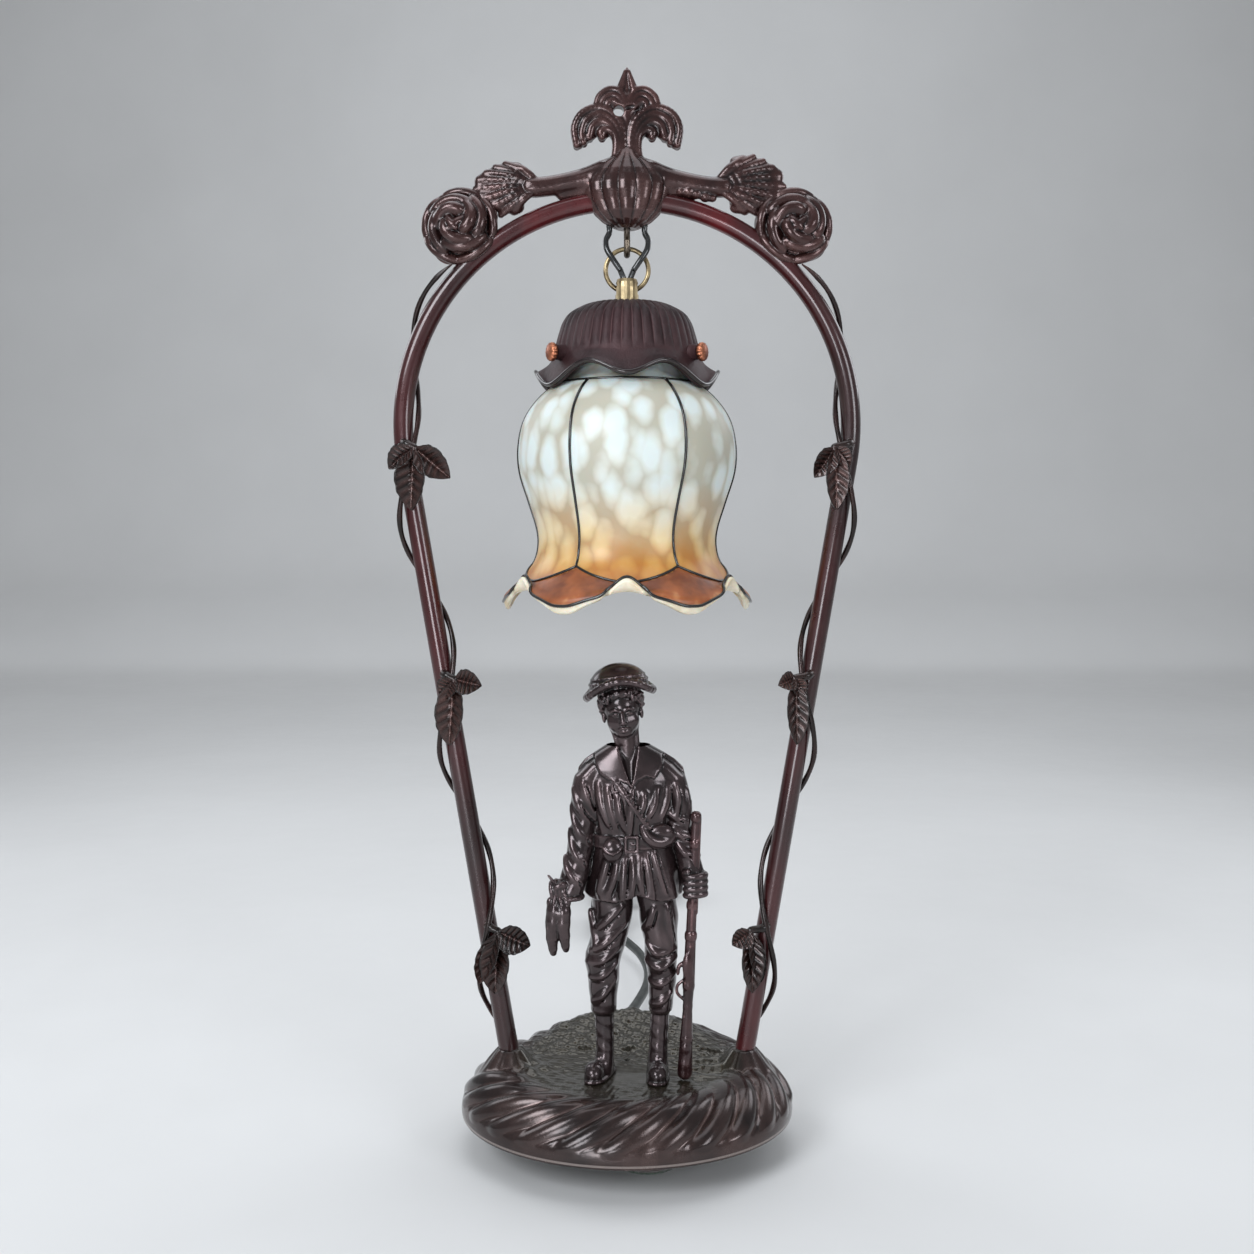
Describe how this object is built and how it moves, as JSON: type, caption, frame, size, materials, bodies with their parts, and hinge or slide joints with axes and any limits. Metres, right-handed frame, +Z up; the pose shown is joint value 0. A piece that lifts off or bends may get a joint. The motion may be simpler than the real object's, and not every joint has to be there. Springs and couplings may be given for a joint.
{
  "type": "table lamp",
  "caption": "Figural table lamp: a ruffled glass flower shade hangs by a ring from an arch of two vine-wound tubes over a standing statuette on a gadrooned oval base.",
  "frame": {"origin": "centre of the oval base on the table top", "axes": "+Z up, the figure faces -Y, the arch spans X"},
  "size_m": [0.2372, 0.692, 0.533],
  "materials": {
    "bronze_base": "dark patina",
    "bronze_figure": "dark patina",
    "bronze_crown": "red-brown patina",
    "bronze_rose": "red-brown patina",
    "bronze_leaf": "dark patina",
    "bronze_cap": "red-brown patina",
    "tube_oxblood": "gloss",
    "cover_sheet": "matte",
    "steel_fixings": "zinc plated",
    "felt": "felt",
    "white_plastic": "matte",
    "lead_black": "satin",
    "brass_antique": "antique",
    "brass_bright": "satin",
    "copper": "satin",
    "art_glass": "opalescent",
    "bulb_glass": "frosted",
    "bulb_metal": "satin",
    "porcelain": "glazed",
    "cord_black": "satin",
    "switch_black": "satin",
    "pin_nickel": "nickel plated"
  },
  "bodies": {
    "stand": {"arch_spigot": "steel_fixings", "arch_tube_left": "tube_oxblood", "arch_tube_right": "tube_oxblood", "arm_nut_left": "steel_fixings", "arm_nut_right": "steel_fixings", "base_casting": "bronze_base", "bottom_cover": "cover_sheet", "bun_foot_1": "bronze_base", "bun_foot_2": "bronze_base", "bun_foot_3": "bronze_base", "cord_coil": "cord_black", "cord_gland": "cord_black", "cord_in_base": "cord_black", "cord_to_coil": "cord_black", "cord_to_plug": "cord_black", "cord_to_switch": "cord_black", "core_tails": "lead_black", "crown_casting": "bronze_crown", "figure_body": "bronze_figure", "figure_screws": "steel_fixings", "flex_lead_left": "lead_black", "flex_lead_right": "lead_black", "foot_felts": "felt", "foot_screws": "steel_fixings", "game": "bronze_figure", "hook": "brass_antique", "hook_nut": "steel_fixings", "lead_in_arm_left": "lead_black", "lead_in_arm_right": "lead_black", "leaves_left": "bronze_leaf", "leaves_right": "bronze_leaf", "plug_body": "switch_black", "plug_pins": "pin_nickel", "rifle": "bronze_figure", "rose_left": "bronze_rose", "rose_right": "bronze_rose", "switch_base": "switch_black", "switch_lid": "switch_black", "switch_screws": "steel_fixings", "terminal_block": "white_plastic", "vine_left": "bronze_leaf", "vine_right": "bronze_leaf"},
    "ring": {"hang_ring": "brass_antique"},
    "pendant": {"neck_coupling": "brass_antique", "nipple": "brass_antique", "lock_nut": "steel_fixings", "shade_cap": "bronze_cap", "glass_shade": "art_glass", "holder_cap": "brass_antique", "holder_skirt": "brass_antique", "holder_insert": "porcelain", "holder_shell": "brass_bright", "centre_contact": "brass_bright"},
    "bulb": {"bulb_cap": "bulb_metal", "bulb_glass": "bulb_glass"},
    "thumb_screw_a": {"thumb_screw_1": "copper"},
    "thumb_screw_b": {"thumb_screw_2": "copper"},
    "thumb_screw_c": {"thumb_screw_3": "copper"},
    "rocker": {"switch_rocker": "switch_black"}
  },
  "joints": [
    {"name": "ring_swing", "type": "hinge", "parent": "stand", "child": "ring", "pos_m": [0, 0, 0.4384], "axis": [0, 1, 0], "range_deg": [-8, 8]},
    {"name": "shade_swing", "type": "hinge", "parent": "ring", "child": "pendant", "pos_m": [0, 0, 0.4199], "axis": [1, 0, 0], "range_deg": [-25, 25], "deforming": ["flex_lead_left", "flex_lead_right"]},
    {"name": "bulb_turn", "type": "hinge", "parent": "pendant", "child": "bulb", "pos_m": [0, 0, 0.37], "axis": [0, 0, 1], "range_deg": [0, 720]},
    {"name": "thumb_screw_a_slide", "type": "slide", "parent": "pendant", "child": "thumb_screw_a", "axis": [-0.866, -0.5, 0], "range_m": [0, 0.004]},
    {"name": "thumb_screw_b_slide", "type": "slide", "parent": "pendant", "child": "thumb_screw_b", "axis": [0.866, -0.5, 0], "range_m": [0, 0.004]},
    {"name": "thumb_screw_c_slide", "type": "slide", "parent": "pendant", "child": "thumb_screw_c", "axis": [0, 1, 0], "range_m": [0, 0.004]},
    {"name": "rocker_tilt", "type": "hinge", "parent": "stand", "child": "rocker", "pos_m": [-0.0158, 0.379, 0.0134], "axis": [1, 0, 0], "range_deg": [-8, 8]}
  ]
}
